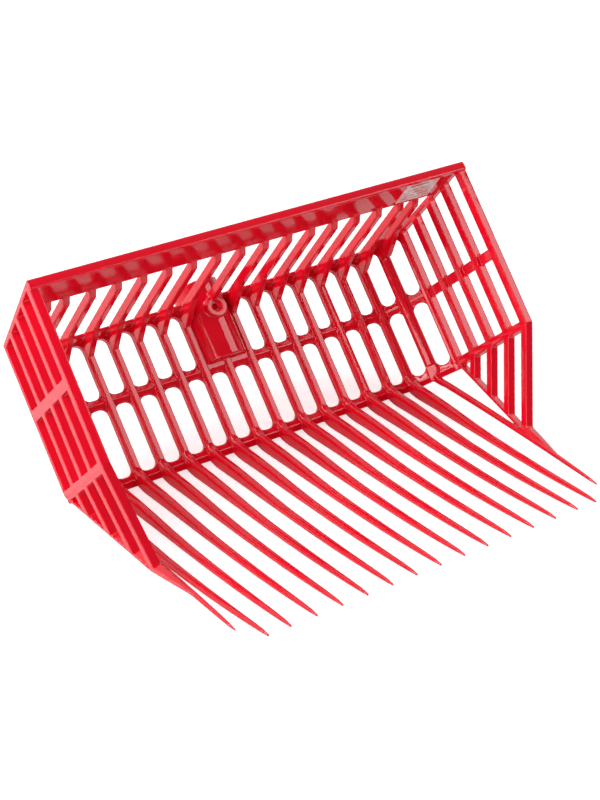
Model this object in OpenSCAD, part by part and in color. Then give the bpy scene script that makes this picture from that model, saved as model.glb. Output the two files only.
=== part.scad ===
// Basket manure fork head: a moulded basket of slotted walls with a row of tines and a handle socket.
// X runs across the head, the tines point to -Y and lie on the floor, Z is up.
// The wall frame leans back with the ribs: n is the distance into the basket, s the height along a rib.

/* [Tines] */
// Ribs on the flat back, each with a tine
main_ribs = 15; // [11:2:17]
// Spacing of the ribs, the slots and the tines
pitch = 22; // [20:0.5:26]
// Distance from the heel line to the tips
tine_reach = 223.5; // [180:0.5:260]
// Width of a tine near its root
tine_w = 7; // [5.5:0.1:9]
// Depth of a tine along its length
tine_d = 7.2; // [5.5:0.1:9]
// Extra depth of a tine at its root
root_rise = 4.7; // [3:0.1:7]
// Height of the tips above the floor
tip_h = 5; // [2.5:0.1:10]
// How far the last tine of the flat back bends inwards
tine_toe = 3.2; // [0:0.1:6]
// Width and depth of a corner tine
corner_tine_d = 5.4; // [4:0.1:7]
// Height of a corner tine's middle where it leaves the wall
corner_tine_h = 15; // [12:0.1:18]
// Height of a corner tine's tip above the floor
corner_tip_h = 7; // [4:0.1:10]
// Upward bow of a corner tine
corner_tine_bow = 1.5; // [0:0.1:3]
// How much shorter a corner tine is
corner_tine_short = 16; // [8:0.5:30]
// How far a corner tine bends inwards
corner_tine_toe = 2.3; // [0:0.1:5]

/* [Walls] */
// Angle of the back above the floor
back_a = 48; // [44:0.5:54]
// Height of the heel line above the floor
heel_h = 10.5; // [9:0.1:14]
// Thickness of the slotted walls
wall_t = 5; // [4:0.1:6]
// Turn of a corner panel from the back
facet_a = 46; // [40:1:50]
// Turn of a side panel from the back
side_a = 84; // [80:0.5:88]
// Length of a side panel with its post
side_l = 92; // [85:0.1:110]
// Width of a slot in the back
slot_w = 15.5; // [12:0.1:16]
// Width of a slot in a corner panel
corner_slot_w = 12.8; // [12:0.1:15]
// Corner radius of a slot in the back
slot_r = 6; // [3:0.1:7]
// Height of the lower slots
lower_slot_l = 54.5; // [45:0.5:65]
// Height of the bar between the slot rows
mid_bar_h = 8.4; // [6:0.1:12]
// Height of the bar under the lower slots
heel_bar_h = 9; // [7.5:0.1:12]
// Wall left between the upper slots and the hood
slot_top = 1.2; // [0.8:0.1:3]
// Width of the raised face of a rib
rib_w = 5; // [4:0.1:6]
// How far a rib stands out in front of the bars
rib_h = 1.75; // [1:0.05:2.4]
// Depth of the slopes along the edges of a bar
bar_slope = 2; // [1:0.1:2.5]

/* [Side panels] */
// Slots in one row of a side panel
side_slots = 4; // [2:1:4]
// Width of a slot in a side panel
side_slot_w = 15.4; // [12:0.1:15.6]
// Depth of the bars across the side slats
side_bar_t = 4; // [3:0.1:5.5]
// Bar over the slots of a side panel
side_top_bar = 4; // [3:0.1:6]
// Half of the bar at the fold of a side panel
fold_bar = 3.5; // [2.5:0.1:5]
// Turn of the skirt under the fold
skirt_a = 13; // [8:0.5:18]
// Lean of the skirt's slats and of the lower post
skirt_lean = 20.5; // [17:0.5:24]
// Bar along the bottom of a skirt
skirt_bar = 6.5; // [4:0.1:8]
// Width of a front post
post_w = 7; // [5:0.1:8]
// Depth of a front post and of the side slats
post_d = 7; // [6:0.1:9]
// Length of a front post under the fold
post_low_l = 83; // [78:0.5:86]
// Length of the fin that carries a post on its tine
foot_l = 58; // [30:1:70]

/* [Hood] */
// Height of the hood's outer face over the back
hood_s = 110.2; // [100:0.1:125]
// Rise of the hood towards its front
hood_a = 11.3; // [6:0.1:16]
// Thickness of the rail and of the margin at the back
hood_t = 2.5; // [2:0.1:3.5]
// Width of the margin inside the back
margin_w = 12; // [9:0.1:16]
// Width of the front rail
rail_w = 40.5; // [30:0.1:50]
// Depth of the rail's front lip
lip_d = 7; // [5:0.1:9]
// Thickness of the rail's front lip
lip_t = 4; // [3:0.1:6]
// Thickness of a hood slat
slat_t = 5.4; // [4:0.1:6]
// Depth of a hood slat
slat_d = 6.8; // [4.5:0.1:8]
// Length of a slat's tail under the rail
slat_tail = 3; // [2:0.5:4]
// Height of the gusset on its rib, under the slat
gusset_h = 8.5; // [5:0.1:12]
// Length of the gusset along its slat
gusset_l = 25; // [12:0.5:30]

/* [Handle socket] */
// Outer diameter of the socket
socket_d = 38; // [36:0.1:39]
// Diameter of the handle bore
handle_d = 30; // [26:0.1:32]
// Place of the socket's axis in front of the wall's middle
socket_n = -2; // [-4:0.1:2]
// Height of the socket's rim along the back
socket_top = 126.5; // [122:0.5:150]
// Thickness of the socket's closed end
socket_end = 4; // [3:0.1:8]
// Diameter of the screw boss
boss_d = 18; // [14:0.1:20]
// Height of the screw boss
boss_h = 3; // [2:0.1:5]
// Distance from the rim to the screw
screw_drop = 24.5; // [20:0.5:35]
// Diameter of the screw hole
screw_d = 5; // [3:0.1:6]
// Diameter of the screw head's recess
screw_head_d = 9; // [7:0.1:11]
// Depth of the screw head's recess
screw_head_l = 3; // [1:0.1:4]

/* [Label] */
// Width of the blank label
label_w = 33; // [15:0.5:40]
// Depth of the blank label
label_l = 27; // [10:0.5:27]
// Thickness of the blank label
label_t = 0.3; // [0.2:0.05:0.5]
// Distance of the label from the side panel
label_in = 10; // [8:0.5:60]
// Distance of the label from the rail's lip
label_gap = 6; // [1:0.5:6]

/* [Hidden] */
$fn = 48;
// Longer than any piece, for cuts
big = 600;
tine_count = main_ribs + 2;
main_half = (main_ribs - 1) / 2 * pitch;
mid_s = lower_slot_l + mid_bar_h;
inner_n = wall_t / 2;
rib_n = inner_n + rib_h;
side_n = post_d / 2;
side_panel_l = side_l - post_w;
mid_ridge = (lower_slot_l + mid_s) / 2;
heel_ridge = -heel_bar_h / 2;

// Turns of the wall's middle line on the right, as [x, n]
corner_1 = [main_half, 0];
corner_2 = corner_1 + 2 * pitch * dir(facet_a);
corner_x = (corner_1[0] + corner_2[0]) / 2;

// The hood reaches over the front corners of the posts
hood_l = (corner_2[1] + side_l * sin(side_a) + side_n * cos(side_a)) / cos(hood_a);
rail_h0 = hood_l - rail_w;

// The origin lies on the floor, under the middle of the whole head
origin_y = (world(socket_n - socket_d / 2, socket_top)[0] - tine_reach) / 2;

red = [0.86, 0.05, 0.1];
deep_red = [0.68, 0, 0.06];
label_white = [0.9, 0.86, 0.84];

tine_names = [for (i = [1:tine_count]) str("tine_", two_digits(i))];
slat_names = [for (i = [1:tine_count]) str("hood_slat_", two_digits(i))];
sided = ["corner_panel", "side_panel", "side_skirt", "front_post", "crease_bar", "crease_corner"];
sided_names = [for (name = sided, end = ["_left", "_right"]) str(name, end)];
single_names = ["back_panel", "heel_bar", "top_rail", "handle_socket", "label"];

function two_digits(i) = str(i < 10 ? "0" : "", i);
function dir(a) = [cos(a), sin(a)];
function side_normal(a) = [-sin(a), cos(a)];
function unit(v) = v / norm(v);
function bend(a, b, c, t) = (1 - t) ^ 2 * a + 2 * t * (1 - t) * b + t ^ 2 * c;
function power(v, e) = sign(v) * abs(v) ^ e;

// Corner of a wall that turns from angle a to angle b, moved off the middle line
function mitre(p, a, b, off) = p + off / cos((b - a) / 2) * side_normal((a + b) / 2);
// Point of the wall frame as [y, z] of the head
function world(n, s) = [s * cos(back_a) - n * sin(back_a), heel_h + s * sin(back_a) + n * cos(back_a)];
// Point of the hood as [n, s]: h along the hood, z above its outer face
function hood(h, z) = [h * cos(hood_a) - z * sin(hood_a), hood_s + h * sin(hood_a) + z * cos(hood_a)];
// Height of the hood's inner face at a place in front of the back
function hood_inner(n) = hood_s + n * tan(hood_a) - hood_t / cos(hood_a);
// Place of a corner panel in front of the back, off its middle line
function facet_n(x, off) = (x - corner_1[0]) * tan(facet_a) + off / cos(facet_a);
// Place of a side panel or post across the head, off its middle line
function side_x(n, off) = corner_2[0] + (n - corner_2[1]) / tan(side_a) + off / sin(side_a);

// Frames of the walls and of the hood
module to_wall() translate([0, 0, heel_h]) rotate([back_a - 90, 0, 0]) children();
module to_hood() translate([0, 0, hood_s]) rotate([-hood_a, 0, 0]) children();
module to_facet() translate([corner_1[0], -corner_1[1], 0]) rotate([0, 0, -facet_a]) children();
module to_side() translate([corner_2[0], -corner_2[1], 0]) rotate([0, 0, -side_a]) children();
module to_skirt() to_side() translate([0, 0, -fold_bar]) rotate([-skirt_a, 0, 0]) children();
module on_side(side) mirror([side < 0 ? 1 : 0, 0, 0]) children();
module placed() translate([0, -origin_y, 0]) children();

// Sketches placed upright through a wall or across the head, and drawn as [x, n] or [n, s]
module through(depth) translate([0, depth / 2, 0]) rotate([90, 0, 0]) linear_extrude(depth) children();
module across(width) translate([-width / 2, 0, 0]) rotate([90, 0, 90]) linear_extrude(width) children();
module plan(points) polygon([for (p = points) [p[0], -p[1]]]);
module profile(points) polygon([for (p = points) [-p[0], p[1]]]);

// Space over the hood's outer face, or over a face under it
module over_hood(z) to_hood() translate([-big / 2, -big / 2, z]) cube([big, big, big]);

// Slot with round corners between two heights, and the straight bit left between its corners
slot_flat = 0.4;
module slot(w, s0, s1) {
    r = min(slot_r, (w - slot_flat) / 2);
    translate([-w / 2, s0 + r]) square([w, s1 - s0 - 2 * r]);
    translate([-w / 2 + r, s0]) square([w - 2 * r, s1 - s0]);
    for (x = [-1, 1], s = [s0 + r, s1 - r]) translate([x * (w / 2 - r), s]) circle(r);
}

// Plans of the walls between two distances from their middle line
module main_plan(a, b) {
    p = mitre(corner_1, 0, facet_a, a);
    q = mitre(corner_1, 0, facet_a, b);
    plan([[-p[0], p[1]], p, q, [-q[0], q[1]]]);
}
module facet_plan(a, b) plan([
    mitre(corner_1, 0, facet_a, a),
    mitre(corner_2, facet_a, side_a, a),
    mitre(corner_2, facet_a, side_a, b),
    mitre(corner_1, 0, facet_a, b)
]);
module side_plan(a, b) plan([
    mitre(corner_2, facet_a, side_a, a),
    corner_2 + side_panel_l * dir(side_a) + a * side_normal(side_a),
    corner_2 + side_panel_l * dir(side_a) + b * side_normal(side_a),
    mitre(corner_2, facet_a, side_a, b)
]);

// Back and right corner as solid walls, which the tines and slats are cut to
module wall_block() translate([0, 0, -heel_bar_h]) {
    linear_extrude(2 * hood_s) main_plan(-inner_n, inner_n);
    linear_extrude(2 * hood_s) facet_plan(-inner_n, inner_n);
}

// Slope on the inner side of a bar, from a slot's end at s0 to the bar's ridge at s1
module slope_cut(w, s0, s1) {
    corner_s = s0 - sign(s1 - s0) * slot_r;
    low_n = inner_n - bar_slope;
    across(w)
        profile([[inner_n, s1], [rib_n, s1], [rib_n, corner_s], [low_n, corner_s], [low_n, s0]]);
}
// Two slots between a pair of ribs, the upper one with its top at a height, and the slopes at their ends
module slot_pair(w, top_s, upper) {
    through(2 * wall_t) slot(w, 0, lower_slot_l);
    slope_cut(w, 0, heel_ridge);
    slope_cut(w, lower_slot_l, mid_ridge);
    if (upper) {
        through(2 * wall_t) slot(w, mid_s, top_s);
        slope_cut(w, mid_s, mid_ridge);
    }
}
// Raised face of a rib, up to the foot of its gusset
module rib_face(top_s) translate([-rib_w / 2, -rib_n, root_high]) cube([rib_w, rib_n, top_s - root_high]);

// Flat back with two rows of slots and a raised face on each rib
half_count = (main_ribs - 1) / 2;
module back_panel() color(red) to_wall() {
    difference() {
        linear_extrude(2 * hood_s) main_plan(-inner_n, inner_n);
        over_hood(-hood_t);
        for (k = [0.5 - half_count : half_count]) translate([k * pitch, 0, 0])
            slot_pair(slot_w, hood_inner(0) - slot_top, abs(k) > 1);
        socket_body();
    }
    difference() {
        for (k = [-half_count : half_count]) translate([k * pitch, 0, 0])
            rib_face(k == 0 ? mid_s : gusset_s(rib_n));
        for (side = [-1, 1]) on_side(side) linear_extrude(2 * hood_s) facet_plan(-inner_n, inner_n);
    }
}

// Bar under the lower slots that carries the tines
module heel_bar() color(deep_red) to_wall() difference() {
    translate([0, 0, -heel_bar_h]) linear_extrude(heel_bar_h) main_plan(-inner_n, inner_n);
    for (k = [0.5 - half_count : half_count]) translate([k * pitch, 0, 0]) {
        slope_cut(slot_w, 0, heel_ridge);
        slope_cut(slot_w, -heel_bar_h, heel_ridge);
    }
}

// Slanted panel between the back and a side
module corner_panel(side) color(red) to_wall() on_side(side) {
    difference() {
        translate([0, 0, -heel_bar_h]) linear_extrude(2 * hood_s) facet_plan(-inner_n, inner_n);
        over_hood(-hood_t);
        to_facet() for (k = [0.5, 1.5]) translate([k * pitch, 0, 0]) {
            slot_pair(corner_slot_w, hood_inner(k * pitch * sin(facet_a)) - slot_top, true);
            slope_cut(corner_slot_w, -heel_bar_h, heel_ridge);
        }
    }
    to_facet() translate([pitch, 0, 0]) rib_face(gusset_s(corner_rib_n));
}

// Side of the basket above its fold, with two rows of slots and a bar set back between them
module side_panel(side) color(red) to_wall() on_side(side) difference() {
    translate([0, 0, -fold_bar]) linear_extrude(2 * hood_s) side_plan(-side_n, side_n);
    over_hood(0);
    to_hood() rail_space();
    to_side() for (k = [1 : side_slots]) translate([side_slot_u(k), 0, 0]) {
        through(2 * post_d) square([side_slot_w, lower_slot_l]);
        through(2 * post_d) side_top_slot(side_slot_u(k));
        translate([0, -side_n - side_bar_t, 0]) cube([side_slot_w, post_d, mid_s]);
    }
}
// Start of a slot on a side panel, counted back from the post
function side_slot_u(k) = side_panel_l - side_slot_w - (k - 1) * pitch;

// Upper slot of a side panel, whose top follows the hood
module side_top_slot(u) {
    top = hood_s + corner_2[1] * tan(hood_a) - side_top_bar;
    tops = [for (x = [side_slot_w, 0]) [x, top + (u + x) * sin(side_a) * tan(hood_a)]];
    polygon(concat([[0, mid_s], [side_slot_w, mid_s]], tops));
}

// Slatted triangle under the fold, turned in towards the corner tine
skirt_g = [-sin(skirt_lean), -cos(skirt_lean)];
skirt_bend = [side_panel_l, 0];
skirt_toe = skirt_bend + post_low_l * skirt_g;
// Start of the skirt's bottom bar on its upper side, at the height of the fold's bar
skirt_in = [(skirt_bar * norm(skirt_toe) - fold_bar * skirt_toe[0]) / -skirt_toe[1], -fold_bar];
function skirt_strip(u, w) = [
    [u, 0], [u + w, 0], [u + w, 0] + side_l * skirt_g, [u, 0] + side_l * skirt_g
];
module side_skirt(side) color(red) to_wall() on_side(side) difference() {
    to_skirt() through(post_d) difference() {
        polygon([[0, 0], [0, post_d], [side_panel_l, post_d], skirt_bend, skirt_toe]);
        for (k = [1 : side_slots]) intersection() {
            polygon(skirt_strip(side_slot_u(k), side_slot_w));
            polygon([skirt_in, [2 * side_l, -fold_bar], skirt_in + 2 * side_l * unit(skirt_toe)]);
        }
    }
    translate([-big / 2, -big / 2, -fold_bar]) cube([big, big, big]);
    wall_block();
}

// Bent post at the front of a side, with a fin that carries it on the corner tine
post_edge = [post_w, 0];
skirt_post = [skirt_bend, skirt_bend + post_edge, skirt_toe + post_edge, skirt_toe];
skirt_foot = [skirt_toe, skirt_toe + post_edge, skirt_toe + post_edge - skirt_g, skirt_toe - skirt_g];
module front_post(side) color(red) on_side(side) difference() {
    union() {
        to_wall() to_side() translate([side_panel_l, -side_n, -fold_bar])
            cube([post_w, post_d, 2 * hood_s]);
        to_wall() to_skirt() through(post_d) polygon(skirt_post);
        hull() {
            to_wall() to_skirt() through(post_d) polygon(skirt_foot);
            foot_fin();
        }
    }
    to_wall() to_hood() rail_space();
    corner_tine();
}

// Line along the corner tine, from beside the post forwards
foot_start = 0.46;
fin_r = 0.5;
fin_sides = 8;
module foot_fin() for (d = [0, foot_l]) translate(corner_tine_mid(foot_start + d / corner_run_l))
    rotate([90, 0, 0]) cylinder(r = fin_r, h = fin_r, $fn = fin_sides);

// Rail at the front of the hood, with a lip along its front edge
module rail_solid() {
    translate([0, 0, -hood_t]) linear_extrude(hood_t) rail_plan(rail_h0);
    translate([0, 0, -lip_d]) linear_extrude(lip_d) rail_plan(hood_l - lip_t);
}
module rail_plan(h0) {
    x0 = side_x(h0 * cos(hood_a), side_n);
    x1 = side_x(hood_l * cos(hood_a), side_n);
    polygon([[-x0, -h0], [x0, -h0], [x1, -hood_l], [-x1, -hood_l]]);
}
// Space that the rail and its lip take, open to the front and to the sides
module rail_space() {
    translate([-big / 2, -big, -hood_t]) cube([big, big - rail_h0, big]);
    translate([-big / 2, -big, -lip_d]) cube([big, big - hood_l + lip_t, big]);
}
module top_rail() color(red) to_wall() to_hood() rail_solid();

// Margin of the hood along the back, one half on each side of the socket
module crease_bar(side) color(deep_red) to_wall() on_side(side) difference() {
    to_hood() margin(hood_t) intersection() {
        main_plan(-inner_n, margin_w);
        translate([0, -big / 2]) square([big, big]);
    }
    socket_body();
}
module crease_corner(side) color(deep_red) to_wall() on_side(side)
    to_hood() margin(hood_t) facet_plan(-inner_n, margin_w);
module margin(depth) translate([0, 0, -hood_t]) linear_extrude(depth) children();

// Slat of the hood in line with a tine, with the gusset that carries it on its rib.
// The middle one ends on the socket and has no gusset, which leaves the way to the screw free.
corner_rib_n = facet_n(corner_x + slat_t / 2, inner_n) + rib_h / 2;
// Height of the gusset's foot on a rib
function gusset_s(n) = slat_s(n) - gusset_h;
function slat_s(n) = hood_s + n * tan(hood_a) - slat_d / cos(hood_a);
module slat_profile(wall_n, front_n, foot_s) profile([
    [wall_n, foot_s], hood(wall_n, 0),
    hood(rail_h0, 0), hood(rail_h0, -hood_t),
    hood(rail_h0 + slat_tail, -hood_t), hood(rail_h0 - slat_tail, -slat_d),
    hood(front_n / cos(hood_a) + gusset_l, -slat_d), [front_n, foot_s]
]);
module hood_slat(i) color(red) to_wall() {
    k = i - (tine_count + 1) / 2;
    main = abs(k) * pitch <= main_half;
    front_n = main ? rib_n : corner_rib_n;
    on_side(k) difference() {
        translate([main ? abs(k) * pitch : corner_x, 0, 0]) across(slat_t) slat_profile(
            main ? 0 : facet_n(corner_x, 0), front_n, k == 0 ? slat_s(front_n) : gusset_s(front_n)
        );
        wall_block();
        to_hood() margin(2 * hood_t) {
            main_plan(-inner_n, margin_w);
            facet_plan(-inner_n, margin_w);
        }
        socket_body();
    }
}

// Ring of points round a tine, between a point under it and a point on top of it, from square to round
ring_sides = 12;
square_power = 0.55;
round_power = 0.95;
function ring_point(k, roundness) =
    let (a = (k + 0.5) * 360 / ring_sides)
    let (e = square_power + (round_power - square_power) * roundness)
    [power(sin(a), e), power(cos(a), e)] / cos(180 / ring_sides) ^ e;
function ring(x, low, high, half_w, roundness) = [for (k = [0 : ring_sides - 1])
    let (q = ring_point(k, roundness), p = (low + high) / 2 + (high - low) / 2 * q[1])
    [x + half_w * q[0], p[0], p[1]]
];

// Stations of a tine: the blend from its root, then the run to its tip
root_high = 4;
heel_run = 14;
heel_turn = 4.7;
root_turn = 6;
blend_steps = [0, 0.25, 0.5, 0.75];
run_steps = [0, 0.08, 0.16, 0.24, 0.32, 0.42, 0.55, 0.68, 0.8, 0.9, 0.96, 1];

// Taper of a tine to its blunt tip, and the shares of its length that are deeper or rise
taper = 0.25;
tip_share = 0.005;
rise_from = 0.07;
rise_to = 0.5;
belly_share = 0.55;
function shrink(u) = (1 - (1 - tip_share) * u) ^ taper;

// Rings of the blend, between points on the wall and the start of the run, as [y, z] below and above
function root_rings(x, half_w, low0, low1, high0, high1) = [for (t = blend_steps) ring(
    x,
    bend(low0, [low0[0] - heel_turn, low1[1]], low1, t),
    bend(high0, high0 - root_turn * dir(back_a), high1, t),
    half_w,
    0
)];

// Tine of the flat back: it lies on the floor for half its length and is deepest at its root
tine_u0 = (heel_run - world(-inner_n, -heel_bar_h)[0]) / tine_reach;
function rise_turn(u) = 180 * max(0, min(1, (u - rise_from) / (rise_to - rise_from)));
function tine_depth(u) = tine_d * shrink(u) + root_rise * (1 + cos(rise_turn(u))) / 2;
function under_z(u) = (tip_h - tine_depth(1) / 2) * max(0, (u - belly_share) / (1 - belly_share)) ^ 2;
function tine_under(u) = [-u * tine_reach, under_z(u)];
function tine_top(u) = [-u * tine_reach, under_z(u) + tine_depth(u)];
function tine_rings(x, toe) = concat(
    root_rings(
        x, tine_w / 2,
        world(-inner_n, -heel_bar_h), tine_under(tine_u0),
        world(rib_n, root_high), tine_top(tine_u0)
    ),
    [for (t = run_steps) let (u = tine_u0 + (1 - tine_u0) * t)
        ring(x - toe * u ^ 2, tine_under(u), tine_top(u), tine_w / 2 * shrink(u), t)]
);

// Tine of a corner panel: a slim round taper with a slight bow
corner_low = world(facet_n(corner_x, -inner_n), -heel_bar_h);
corner_high = world(facet_n(corner_x, inner_n), -heel_bar_h / 2);
corner_y0 = corner_low[0] - heel_run;
corner_y1 = corner_tine_short - tine_reach;
corner_run_l = corner_y0 - corner_y1;
function corner_tine_mid(t) = [
    corner_x - corner_tine_toe * t,
    corner_y0 - corner_run_l * t,
    corner_tine_h + (corner_tip_h - corner_tine_h) * t + 4 * corner_tine_bow * t * (1 - t)
];
function corner_under(t) = [corner_tine_mid(t)[1], corner_tine_mid(t)[2] - corner_tine_d / 2 * shrink(t)];
function corner_top(t) = [corner_tine_mid(t)[1], corner_tine_mid(t)[2] + corner_tine_d / 2 * shrink(t)];
corner_rings = concat(
    root_rings(corner_x, corner_tine_d / 2, corner_low, corner_under(0), corner_high, corner_top(0)),
    [for (t = run_steps)
        ring(corner_tine_mid(t)[0], corner_under(t), corner_top(t), corner_tine_d / 2 * shrink(t), 1)]
);

// Solid through a list of rings
module loft(rings) {
    m = ring_sides;
    last = len(rings) - 1;
    sides = [for (j = [0 : last - 1], k = [0 : m - 1], half = [0, 1])
        let (a = j * m + k, b = j * m + (k + 1) % m)
        half == 0 ? [a, b, a + m] : [b, b + m, a + m]];
    ends = [[for (k = [m - 1 : -1 : 0]) k], [for (k = [0 : m - 1]) last * m + k]];
    polyhedron([for (r = rings) each r], concat(sides, ends));
}
module corner_tine() loft(corner_rings);
module tine(i) color(red) {
    k = i - (tine_count + 1) / 2;
    x = abs(k) * pitch;
    on_side(k) difference() {
        if (x > main_half) corner_tine();
        else loft(tine_rings(x, x == main_half ? tine_toe : 0));
        to_wall() wall_block();
    }
}

// Round socket for the handle, closed at the bottom, with a boss for the screw
module socket_body() {
    translate([0, -socket_n, mid_s]) cylinder(d = socket_d, h = socket_top - mid_s);
    translate([0, -socket_n, socket_top - screw_drop]) rotate([90, 0, 0])
        cylinder(d = boss_d, h = socket_d / 2 + boss_h);
}
module handle_socket() color(deep_red) to_wall() difference() {
    socket_body();
    translate([0, -socket_n, mid_s + socket_end]) cylinder(d = handle_d, h = socket_top);
    translate([0, -socket_n, socket_top - screw_drop]) rotate([90, 0, 0]) {
        cylinder(d = screw_d, h = socket_d);
        translate([0, 0, socket_d / 2 + boss_h - screw_head_l]) cylinder(d = screw_head_d, h = socket_d);
    }
}

// Blank label on the inner face of the rail
module label() color(label_white) to_wall() to_hood() {
    x1 = side_x(rail_h0 * cos(hood_a), 0) - label_in;
    h1 = hood_l - lip_t - label_gap;
    translate([x1 - label_w, -h1, -hood_t - label_t]) cube([label_w, label_l, label_t]);
}

placed() back_panel();
placed() heel_bar();
placed() top_rail();
placed() handle_socket();
placed() label();
for (side = [-1, 1]) {
    end = side < 0 ? "_left" : "_right";
    placed() corner_panel(side);
    placed() side_panel(side);
    placed() side_skirt(side);
    placed() front_post(side);
    placed() crease_bar(side);
    placed() crease_corner(side);
}
for (i = [1:tine_count]) {
    placed() tine(i);
    placed() hood_slat(i);
}
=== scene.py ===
"""Looks of a basket manure fork head: one glossy red moulding with a film label on its rail."""
import math

import bmesh
import bpy
import numpy as np
from mathutils import Euler, Matrix, Vector


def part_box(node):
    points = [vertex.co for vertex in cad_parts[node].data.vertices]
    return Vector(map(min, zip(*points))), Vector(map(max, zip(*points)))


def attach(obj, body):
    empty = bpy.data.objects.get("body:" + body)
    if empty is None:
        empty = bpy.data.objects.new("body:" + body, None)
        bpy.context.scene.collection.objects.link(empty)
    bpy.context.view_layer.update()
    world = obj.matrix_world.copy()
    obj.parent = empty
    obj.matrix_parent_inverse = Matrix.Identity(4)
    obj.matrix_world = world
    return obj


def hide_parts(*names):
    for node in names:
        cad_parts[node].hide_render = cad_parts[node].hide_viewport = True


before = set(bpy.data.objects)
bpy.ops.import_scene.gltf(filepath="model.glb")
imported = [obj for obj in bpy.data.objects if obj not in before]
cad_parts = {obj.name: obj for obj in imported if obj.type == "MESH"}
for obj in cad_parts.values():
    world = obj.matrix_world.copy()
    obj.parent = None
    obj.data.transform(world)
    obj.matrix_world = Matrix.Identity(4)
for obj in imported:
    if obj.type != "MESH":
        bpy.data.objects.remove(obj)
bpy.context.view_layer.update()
scene = bpy.context.scene
scene.view_settings.view_transform = "Standard"

# Camera
# A long lens in front of the head, at its left and above it, as the head is photographed.
# Its place, in metres, and its two directions are given in the head's own frame.
camera_place = Vector((-0.82953, -1.07643, 0.78830))
camera_aim = Vector((0.5370, 0.7010, -0.4692)).normalized()
camera_up = Vector((0.2689, 0.3850, 0.8829))
camera_lens = 92.85
camera_sensor = 36
camera_data = bpy.data.cameras.new("camera")
camera_data.lens = camera_lens
camera_data.sensor_width = camera_sensor
camera = bpy.data.objects.new("camera", camera_data)
camera_right = camera_aim.cross(camera_up).normalized()
camera_axes = Matrix((camera_right, camera_right.cross(camera_aim), -camera_aim)).transposed()
camera.matrix_world = Matrix.Translation(camera_place) @ camera_axes.to_4x4()
scene.collection.objects.link(camera)
scene.camera = camera

# Floor and studio
# A plain white floor under the head, with soft boxes at the front right, low left and high left.
# The gloss mirrors a room that is white behind the head and dark behind the camera.
floor_half = 6.0
floor_colour = (0.95, 0.95, 0.95, 1)
floor_roughness = 0.9
floor_seen = 0.65
floor_mirrored = 0.1
floor_mesh = bpy.data.meshes.new("floor")
floor_corners = [(-floor_half, -floor_half, 0), (floor_half, -floor_half, 0),
                 (floor_half, floor_half, 0), (-floor_half, floor_half, 0)]
floor_mesh.from_pydata(floor_corners, [], [(0, 1, 2, 3)])
floor = bpy.data.objects.new("floor", floor_mesh)
scene.collection.objects.link(floor)

floor_white = bpy.data.materials.new("floor_white")
floor_white.use_nodes = True
floor_shader = floor_white.node_tree.nodes["Principled BSDF"]
floor_shader.inputs["Base Color"].default_value = floor_colour
floor_shader.inputs["Roughness"].default_value = floor_roughness
floor_shader.inputs["Specular IOR Level"].default_value = 0.0
nodes, links = floor_white.node_tree.nodes, floor_white.node_tree.links
ray = nodes.new("ShaderNodeLightPath")
mirrored = nodes.new("ShaderNodeMath")
mirrored.operation = "MULTIPLY"
mirrored.inputs[1].default_value = floor_mirrored
links.new(ray.outputs["Is Glossy Ray"], mirrored.inputs[0])
backlit = nodes.new("ShaderNodeMath")
backlit.operation = "MULTIPLY_ADD"
backlit.inputs[1].default_value = floor_seen
links.new(ray.outputs["Is Camera Ray"], backlit.inputs[0])
links.new(mirrored.outputs["Value"], backlit.inputs[2])
links.new(backlit.outputs["Value"], floor_shader.inputs["Emission Color"])
floor_shader.inputs["Emission Strength"].default_value = 1.0
floor_mesh.materials.append(floor_white)

room_light = 0.2
dark_side = 0.06
white_side = 1.0
side_blend = 0.2
head_middle = Vector((0, 0, 0.1))
world = bpy.data.worlds.new("studio")
scene.world = world
world.use_nodes = True
nodes, links = world.node_tree.nodes, world.node_tree.links
room = nodes["Background"]
room.inputs["Color"].default_value = (1, 1, 1, 1)
direction = nodes.new("ShaderNodeTexCoord")
split = nodes.new("ShaderNodeSeparateXYZ")
links.new(direction.outputs["Generated"], split.inputs["Vector"])
mirrored = nodes.new("ShaderNodeMapRange")
mirrored.inputs["From Min"].default_value = -side_blend
mirrored.inputs["From Max"].default_value = side_blend
mirrored.inputs["To Min"].default_value = dark_side
mirrored.inputs["To Max"].default_value = white_side
links.new(split.outputs["Y"], mirrored.inputs["Value"])
ray = nodes.new("ShaderNodeLightPath")
glossy = nodes.new("ShaderNodeMix")
glossy.inputs["A"].default_value = room_light
links.new(ray.outputs["Is Glossy Ray"], glossy.inputs["Factor"])
links.new(mirrored.outputs["Result"], glossy.inputs["B"])
seen = nodes.new("ShaderNodeMix")
seen.inputs["B"].default_value = white_side
links.new(ray.outputs["Is Camera Ray"], seen.inputs["Factor"])
links.new(glossy.outputs["Result"], seen.inputs["A"])
links.new(seen.outputs["Result"], room.inputs["Strength"])


def soft_box(name, place, size, brightness):
    """A square lamp of an even brightness that faces the head."""
    data = bpy.data.lights.new(name, "AREA")
    data.size = size
    data.energy = brightness * math.pi * size ** 2
    lamp = bpy.data.objects.new(name, data)
    place = Vector(place)
    aim = (head_middle - place).to_track_quat("-Z", "Y")
    lamp.matrix_world = Matrix.Translation(place) @ aim.to_matrix().to_4x4()
    scene.collection.objects.link(lamp)


soft_box("box_right", place=(1.28, -0.98, 1.28), size=1.1, brightness=2.7)
soft_box("box_left", place=(-1.8, -1.0, 0.6), size=1.2, brightness=3.4)
soft_box("box_high", place=(-1.5, 0.3, 1.45), size=1.2, brightness=6.2)

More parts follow.
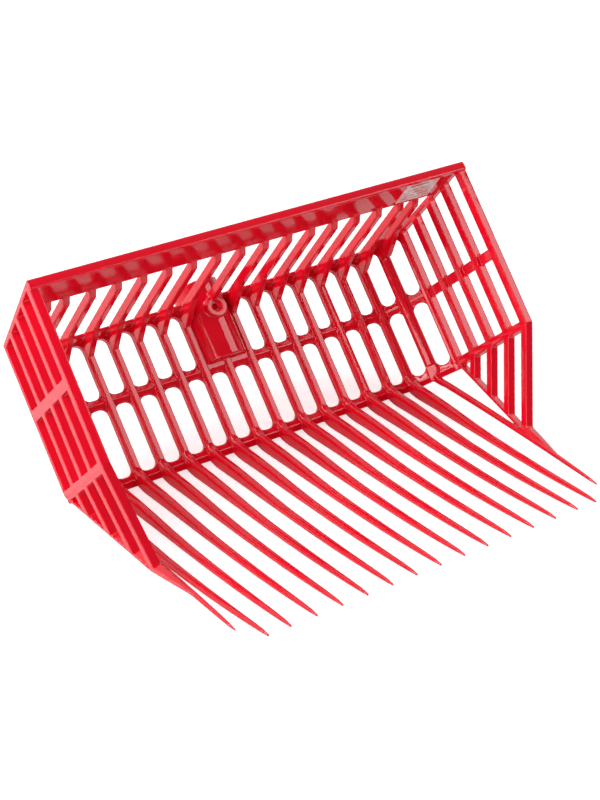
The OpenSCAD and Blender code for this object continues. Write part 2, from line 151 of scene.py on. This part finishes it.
# Red plastic
# Polypropylene coloured in the mass, glossy from a polished mould.
# The gloss wavers a little, with faint flow marks and hair scratches from handling.
plastic_red = (0.85, 0.003, 0.02, 1)
plastic_ior = 1.5
coat_weight = 0.4
coat_roughness = 0.04
plastic_finish = {"Least Tint": 0.9, "Most Tint": 1.05, "Least Roughness": 0.05,
                  "Most Roughness": 0.1, "Scratch Roughness": 0.1}
flow_scale, flow_stretch = 18, (1, 0.35, 1)
gloss_scale = 45
scratch_scale, scratch_stretch = 90, (12, 0.6, 12)
scratch_edge = (0.68, 0.72)
grain_scale = 220
grain_strength = 0.06
grain_depth = 0.0005
noise_span = (0.3, 0.7)


def finish_group():
    """Shader group: the uneven finish of a moulding, as a tint, a roughness and a height."""
    group = bpy.data.node_groups.new("moulded_finish", "ShaderNodeTree")
    for name in plastic_finish:
        group.interface.new_socket(name, in_out="INPUT", socket_type="NodeSocketFloat")
    for name in ("Tint", "Roughness", "Height"):
        group.interface.new_socket(name, in_out="OUTPUT", socket_type="NodeSocketFloat")
    nodes, links = group.nodes, group.links
    given = nodes.new("NodeGroupInput")
    out = nodes.new("NodeGroupOutput")
    place = nodes.new("ShaderNodeTexCoord")

    def noise(scale, detail, stretch=(1, 1, 1)):
        """Noise in the head's own frame."""
        mapping = nodes.new("ShaderNodeMapping")
        mapping.inputs["Scale"].default_value = stretch
        links.new(place.outputs["Object"], mapping.inputs["Vector"])
        texture = nodes.new("ShaderNodeTexNoise")
        texture.inputs["Scale"].default_value = scale
        texture.inputs["Detail"].default_value = detail
        links.new(mapping.outputs["Vector"], texture.inputs["Vector"])
        return texture.outputs["Fac"]

    def ranged(value, span, ends):
        """A value that runs over a span, moved between ends that are inputs of the group."""
        node = nodes.new("ShaderNodeMapRange")
        node.inputs["From Min"].default_value = span[0]
        node.inputs["From Max"].default_value = span[1]
        for socket, name in ends.items():
            links.new(given.outputs[name], node.inputs[socket])
        links.new(value, node.inputs["Value"])
        return node.outputs["Result"]

    flow = ranged(noise(flow_scale, detail=3, stretch=flow_stretch), noise_span,
                  {"To Min": "Least Tint", "To Max": "Most Tint"})
    gloss = ranged(noise(gloss_scale, detail=4), noise_span,
                   {"To Min": "Least Roughness", "To Max": "Most Roughness"})
    scratches = ranged(noise(scratch_scale, detail=2, stretch=scratch_stretch), scratch_edge,
                       {"To Max": "Scratch Roughness"})
    roughness = nodes.new("ShaderNodeMath")
    links.new(gloss, roughness.inputs[0])
    links.new(scratches, roughness.inputs[1])
    links.new(flow, out.inputs["Tint"])
    links.new(roughness.outputs["Value"], out.inputs["Roughness"])
    links.new(noise(grain_scale, detail=2), out.inputs["Height"])
    return group


def placed_finish(nodes, finish, values):
    """The finish group in a material, with the material's own values."""
    uneven = nodes.new("ShaderNodeGroup")
    uneven.node_tree = finish
    for name, value in values.items():
        uneven.inputs[name].default_value = value
    return uneven


def plastic(name, colour, finish):
    """Glossy plastic with the uneven finish of its mould."""
    material = bpy.data.materials.new(name)
    material.use_nodes = True
    nodes, links = material.node_tree.nodes, material.node_tree.links
    shader = nodes["Principled BSDF"]
    shader.inputs["IOR"].default_value = plastic_ior
    shader.inputs["Coat Weight"].default_value = coat_weight
    shader.inputs["Coat Roughness"].default_value = coat_roughness
    uneven = placed_finish(nodes, finish, plastic_finish)
    tinted = nodes.new("ShaderNodeMix")
    tinted.data_type = "RGBA"
    tinted.blend_type = "MULTIPLY"
    tinted.inputs["Factor"].default_value = 1
    tinted.inputs["A"].default_value = colour
    links.new(uneven.outputs["Tint"], tinted.inputs["B"])
    links.new(tinted.outputs["Result"], shader.inputs["Base Color"])
    links.new(uneven.outputs["Roughness"], shader.inputs["Roughness"])
    bump = nodes.new("ShaderNodeBump")
    bump.inputs["Strength"].default_value = grain_strength
    bump.inputs["Distance"].default_value = grain_depth
    links.new(uneven.outputs["Height"], bump.inputs["Height"])
    links.new(bump.outputs["Normal"], shader.inputs["Normal"])
    return material


finish = finish_group()
red_plastic = plastic("red_plastic", plastic_red, finish)

# Moulding
# The head is one injection moulding, with every edge and inner corner rounded by the mould.
# Its sections are fused into one skin here, softened, and parted again along flat planes.
# The skin is made turned, so that no straight edge runs along the grid that it is made on.
skin_voxel = 0.0005
soften_factor = 0.5
soften_steps = 7
polish_steps = 14
tine_x = 0.1605
tine_z = 0.03
free_y = 0.042
kept_share = 0.16
weld = 1e-7
grid_angles = (18, -53, -34)
grid_turn = Euler([math.radians(angle) for angle in grid_angles]).to_matrix().to_4x4()


def shown(mesh, name):
    """A mesh as a new object of the scene."""
    piece = bpy.data.objects.new(name, mesh)
    scene.collection.objects.link(piece)
    return piece


def finished(piece):
    """A piece with its modifiers applied to its mesh."""
    evaluated = piece.evaluated_get(bpy.context.evaluated_depsgraph_get())
    mesh = bpy.data.meshes.new_from_object(evaluated)
    piece.modifiers.clear()
    piece.data = mesh
    return piece


def sections(names):
    """Closed copies of CAD nodes in one mesh."""
    together = bmesh.new()
    for name in names:
        section = bmesh.new()
        section.from_mesh(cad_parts[name].data)
        bmesh.ops.remove_doubles(section, verts=section.verts, dist=weld)
        mesh = bpy.data.meshes.new(name)
        section.to_mesh(mesh)
        section.free()
        together.from_mesh(mesh)
    mesh = bpy.data.meshes.new("sections")
    together.to_mesh(mesh)
    together.free()
    return mesh


skin = shown(sections(sorted(set(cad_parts) - {"label"})), "skin")
skin.data.transform(grid_turn)
fuse = skin.modifiers.new("fuse", "REMESH")
fuse.mode = "VOXEL"
fuse.voxel_size = skin_voxel
finished(skin).data.transform(grid_turn.inverted())
places = np.empty(3 * len(skin.data.vertices))
skin.data.vertices.foreach_get("co", places)
x, y, z = places.reshape(-1, 3).T
free_tine = (np.abs(x) < tine_x) & (y < free_y) & (z < tine_z)
skin.vertex_groups.new(name="tines").add(np.flatnonzero(free_tine).tolist(), 1.0, "REPLACE")
for name, steps, group in (("soften", soften_steps, ""), ("polish", polish_steps, "tines")):
    smooth = skin.modifiers.new(name, "SMOOTH")
    smooth.factor = soften_factor
    smooth.iterations = steps
    smooth.vertex_group = group
thin_out = skin.modifiers.new("thin_out", "DECIMATE")
thin_out.ratio = kept_share
finished(skin)

# Wall frame of the head: X across, Y out through the back, Z up along the ribs
back_angle = 48
back_lean = math.radians(back_angle - 90)
heel = Vector((0, 0.0616245, 0.0105))
to_wall = Matrix.Translation(heel) @ Matrix.Rotation(back_lean, 4, "X")
to_head = Matrix.Identity(4)
reach = 1.0


def block(low, high, matrix):
    """A box between two corners of a frame, for parting the skin."""
    made = bmesh.new()
    bmesh.ops.create_cube(made, size=1)
    size = Vector(high) - Vector(low)
    middle = (Vector(high) + Vector(low)) / 2
    made.transform(matrix @ Matrix.Translation(middle) @ Matrix.Diagonal(size).to_4x4())
    mesh = bpy.data.meshes.new("block")
    made.to_mesh(mesh)
    made.free()
    return shown(mesh, "block")


def cut(target, operation, cutter):
    """A boolean cut of one closed mesh by another."""
    modifier = target.modifiers.new("cut", "BOOLEAN")
    modifier.operation = operation
    modifier.solver = "MANIFOLD"
    modifier.object = cutter
    return finished(target)


def part_off(rest, name, cutter, *more):
    """Takes what lies in the cutters off the rest, as a piece of its own."""
    for other in more:
        cut(cutter, "UNION", other)
        bpy.data.objects.remove(other)
    piece = cut(shown(rest.data.copy(), name), "INTERSECT", cutter)
    cut(rest, "DIFFERENCE", cutter)
    bpy.data.objects.remove(cutter)
    return piece


sharp_angle = math.radians(75)
sliver = 2e-5


def cleaned(piece):
    """A piece in triangles, without the slivers and loose faces that a cut leaves along its edges."""
    made = bmesh.new()
    made.from_mesh(piece.data)
    bmesh.ops.triangulate(made, faces=made.faces, ngon_method="BEAUTY")
    bmesh.ops.dissolve_degenerate(made, dist=sliver, edges=made.edges)
    bmesh.ops.triangulate(made, faces=made.faces, ngon_method="BEAUTY")
    on_corners = {}
    for face in made.faces:
        on_corners.setdefault(frozenset(face.verts), []).append(face)
    folded = [face for faces in on_corners.values() if len(faces) == 2 for face in faces]
    bmesh.ops.delete(made, geom=folded, context="FACES")
    loose = [face for face in made.faces if all(len(edge.link_faces) % 2 for edge in face.edges)]
    bmesh.ops.delete(made, geom=loose, context="FACES")
    made.to_mesh(piece.data)
    made.free()
    return piece


def dressed(piece, material, slot, *node_names):
    """Gives a piece its material and flat faces between round edges, and hides the nodes it stands for.
    """
    cleaned(piece)
    piece.data.materials.clear()
    piece.data.materials.append(material)
    piece.data.shade_smooth()
    piece.data.set_sharp_from_angle(angle=sharp_angle)
    flat = piece.modifiers.new("flat", "WEIGHTED_NORMAL")
    flat.keep_sharp = True
    finished(piece)
    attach(piece, "root")
    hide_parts(*node_names)


def named(start):
    """The CAD nodes whose names begin alike."""
    return [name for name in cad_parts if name.startswith(start)]


# Handle socket
# A round socket with a closed end, moulded on to the back above the middle bar.
# A boss at its front takes the screw that holds the handle.
socket_half = 0.020
socket_low = 0.0625
socket_depth = 0.06
socket_high = 0.2
socket = part_off(skin, "moulded_socket", block(
    (-socket_half, -socket_depth, socket_low), (socket_half, socket_depth, socket_high), to_wall))
dressed(socket, red_plastic, "red_plastic", "handle_socket")

# Hood
# The slats that roof the basket, all but the middle one on gussets, and the margin along the back.
# A wide rail with a lip closes the hood at the front.
hood_angle = 11.3
hood_s = 0.1102
hood_depth = 0.0072
to_hood = to_wall @ Matrix.Translation((0, 0, hood_s))
to_hood = to_hood @ Matrix.Rotation(-math.radians(hood_angle), 4, "X")
hood = part_off(skin, "moulded_hood", block(
    (-reach, -reach, -hood_depth), (reach, reach, reach), to_hood))
dressed(hood, red_plastic, "red_plastic", "top_rail", *named("crease_"), *named("hood_slat_"))

# Tines
# Fifteen tapered tines in line with the ribs of the back, deepest at their roots.
# The thirteen inner ones are alike and repeat one; the outer two bend inwards a little.
pitch = 0.022
inner_tines = 13
first_inner = 3
tine_y = 0.045


def lane(k):
    """The strip of the head that holds one tine, counted from the middle."""
    return block(((k - 0.5) * pitch, -reach, -reach), ((k + 0.5) * pitch, reach, reach), to_head)


def row_tree():
    """Geometry nodes: a row of one piece along X, centred on its place."""
    tree = bpy.data.node_groups.new("row", "GeometryNodeTree")
    for name, kind in (("Piece", "NodeSocketObject"), ("Count", "NodeSocketInt"),
                       ("Spacing", "NodeSocketFloat"), ("Material", "NodeSocketMaterial")):
        tree.interface.new_socket(name, in_out="INPUT", socket_type=kind)
    tree.interface.new_socket("Geometry", in_out="OUTPUT", socket_type="NodeSocketGeometry")
    nodes, links = tree.nodes, tree.links
    given = nodes.new("NodeGroupInput")
    out = nodes.new("NodeGroupOutput")
    piece = nodes.new("GeometryNodeObjectInfo")
    links.new(given.outputs["Piece"], piece.inputs["Object"])
    step = nodes.new("ShaderNodeCombineXYZ")
    links.new(given.outputs["Spacing"], step.inputs["X"])
    before = nodes.new("ShaderNodeMath")
    before.operation = "MULTIPLY_ADD"
    links.new(given.outputs["Count"], before.inputs[0])
    before.inputs[1].default_value = -0.5
    before.inputs[2].default_value = 0.5
    start = nodes.new("ShaderNodeVectorMath")
    start.operation = "SCALE"
    links.new(step.outputs["Vector"], start.inputs["Vector"])
    links.new(before.outputs["Value"], start.inputs["Scale"])
    line = nodes.new("GeometryNodeMeshLine")
    links.new(given.outputs["Count"], line.inputs["Count"])
    links.new(start.outputs["Vector"], line.inputs["Start Location"])
    links.new(step.outputs["Vector"], line.inputs["Offset"])
    instances = nodes.new("GeometryNodeInstanceOnPoints")
    links.new(line.outputs["Mesh"], instances.inputs["Points"])
    links.new(piece.outputs["Geometry"], instances.inputs["Instance"])
    realize = nodes.new("GeometryNodeRealizeInstances")
    links.new(instances.outputs["Instances"], realize.inputs["Geometry"])
    material = nodes.new("GeometryNodeSetMaterial")
    links.new(realize.outputs["Geometry"], material.inputs["Geometry"])
    links.new(given.outputs["Material"], material.inputs["Material"])
    links.new(material.outputs["Geometry"], out.inputs["Geometry"])
    return tree


def row(name, piece, count, spacing, material):
    """A row of one piece as a plain mesh."""
    host = shown(bpy.data.meshes.new(name), name)
    modifier = host.modifiers.new("row", "NODES")
    modifier.node_group = row_tree()
    values = {"Piece": piece, "Count": count, "Spacing": spacing, "Material": material}
    for socket in modifier.node_group.interface.items_tree:
        if socket.in_out == "INPUT":
            modifier[socket.identifier] = values[socket.name]
    return finished(host)


tines = part_off(skin, "tines", block((-tine_x, -reach, -reach), (tine_x, tine_y, tine_z), to_head))
tine_pattern = part_off(tines, "tine_pattern", lane(0))
inner_names = [f"tine_{i:02d}" for i in range(first_inner, first_inner + inner_tines)]
tine_row = row("moulded_tine_row", tine_pattern, inner_tines, pitch, red_plastic)
dressed(tine_row, red_plastic, "red_plastic", *inner_names)
outer_lane = (inner_tines + 1) // 2
for name, k in (("tine_02", -outer_lane), ("tine_16", outer_lane)):
    dressed(part_off(tines, "moulded_" + name, lane(k)), red_plastic, "red_plastic", name)
for spare in (tines, tine_pattern):
    bpy.data.objects.remove(spare)

# Sides
# A slotted panel at each end, with a slatted skirt under its fold.
# A bent post at its front stands with a fin on the corner tine.
front_y = 0.0
side_x = 0.176
side_n = 0.034
for end, sign, tine in (("left", -1, "tine_01"), ("right", 1, "tine_17")):
    foot_x = sorted((sign * tine_x, sign * reach))
    wall_x = sorted((sign * side_x, sign * reach))
    side = part_off(
        skin, "moulded_side_" + end,
        block((foot_x[0], -reach, -reach), (foot_x[1], tine_y, tine_z), to_head),
        block((foot_x[0], -reach, -reach), (foot_x[1], front_y, reach), to_head),
        block((wall_x[0], -reach, -reach), (wall_x[1], -side_n, reach), to_wall))
    side_names = [f"{name}_{end}" for name in ("side_panel", "side_skirt", "front_post")]
    dressed(side, red_plastic, "red_plastic", tine, *side_names)

# Back
# The flat back and its two corner panels, with two rows of slots between raised ribs.
# The bar at the heel carries the tines.
skin.name = "moulded_back"
dressed(skin, red_plastic, "red_plastic", "back_panel", "heel_bar", *named("corner_panel_"))

# Label
# A pale film label stuck on the inner face of the rail, near its right end.
# Its print is plain grey: one bar, and rows of short blocks that say nothing.
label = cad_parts["label"]
film_pale = (0.93, 0.76, 0.72, 1)
ink_grey = (0.28, 0.24, 0.24, 1)
ink_faint = (0.5, 0.42, 0.4, 1)
film_finish = {"Least Roughness": 0.05, "Most Roughness": 0.1, "Scratch Roughness": 0.1}
block_size = (0.013, 0.0038)
block_gap = 0.0016
block_blur = 0.3
bar_at, bar_half = (-0.003, -0.0085), (0.0095, 0.001)
rows_at, rows_half = (0.0, 0.0032), (0.0135, 0.0084)


def film_material(finish):
    """Pale film with a bar and rows of blocks, laid out from the middle of the label."""
    material = bpy.data.materials.new("label_film")
    material.use_nodes = True
    nodes, links = material.node_tree.nodes, material.node_tree.links
    shader = nodes["Principled BSDF"]
    low, high = (Vector(corner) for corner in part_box("label"))
    place = nodes.new("ShaderNodeTexCoord")
    mapping = nodes.new("ShaderNodeMapping")
    mapping.vector_type = "TEXTURE"
    mapping.inputs["Location"].default_value = (low + high) / 2
    mapping.inputs["Rotation"].default_value = to_hood.to_euler()
    links.new(place.outputs["Object"], mapping.inputs["Vector"])
    split = nodes.new("ShaderNodeSeparateXYZ")
    links.new(mapping.outputs["Vector"], split.inputs["Vector"])

    def field(middle, half):
        """Mask of a rectangle on the label."""
        sides = nodes.new("ShaderNodeMath")
        sides.operation = "MULTIPLY"
        for k, axis in enumerate("XY"):
            near = nodes.new("ShaderNodeMath")
            near.operation = "COMPARE"
            near.inputs[1].default_value = middle[k]
            near.inputs[2].default_value = half[k]
            links.new(split.outputs[axis], near.inputs[0])
            links.new(near.outputs["Value"], sides.inputs[k])
        return sides.outputs["Value"]

    def printed(ground, ink, mask):
        """The colour under a mask's print."""
        mix = nodes.new("ShaderNodeMix")
        mix.data_type = "RGBA"
        for socket, value in (("Factor", mask), ("A", ground), ("B", ink)):
            if isinstance(value, tuple):
                mix.inputs[socket].default_value = value
            else:
                links.new(value, mix.inputs[socket])
        return mix.outputs["Result"]

    rows = nodes.new("ShaderNodeTexBrick")
    for name, value in (("Color1", ink_grey), ("Color2", ink_faint), ("Mortar", film_pale), ("Scale", 1),
                        ("Brick Width", block_size[0]), ("Row Height", block_size[1]),
                        ("Mortar Size", block_gap), ("Mortar Smooth", block_blur)):
        rows.inputs[name].default_value = value
    links.new(mapping.outputs["Vector"], rows.inputs["Vector"])
    colour = printed(film_pale, rows.outputs["Color"], field(rows_at, rows_half))
    colour = printed(colour, ink_grey, field(bar_at, bar_half))
    uneven = placed_finish(nodes, finish, film_finish)
    links.new(colour, shader.inputs["Base Color"])
    links.new(uneven.outputs["Roughness"], shader.inputs["Roughness"])
    return material


label.data.materials.clear()
label.data.materials.append(film_material(finish))
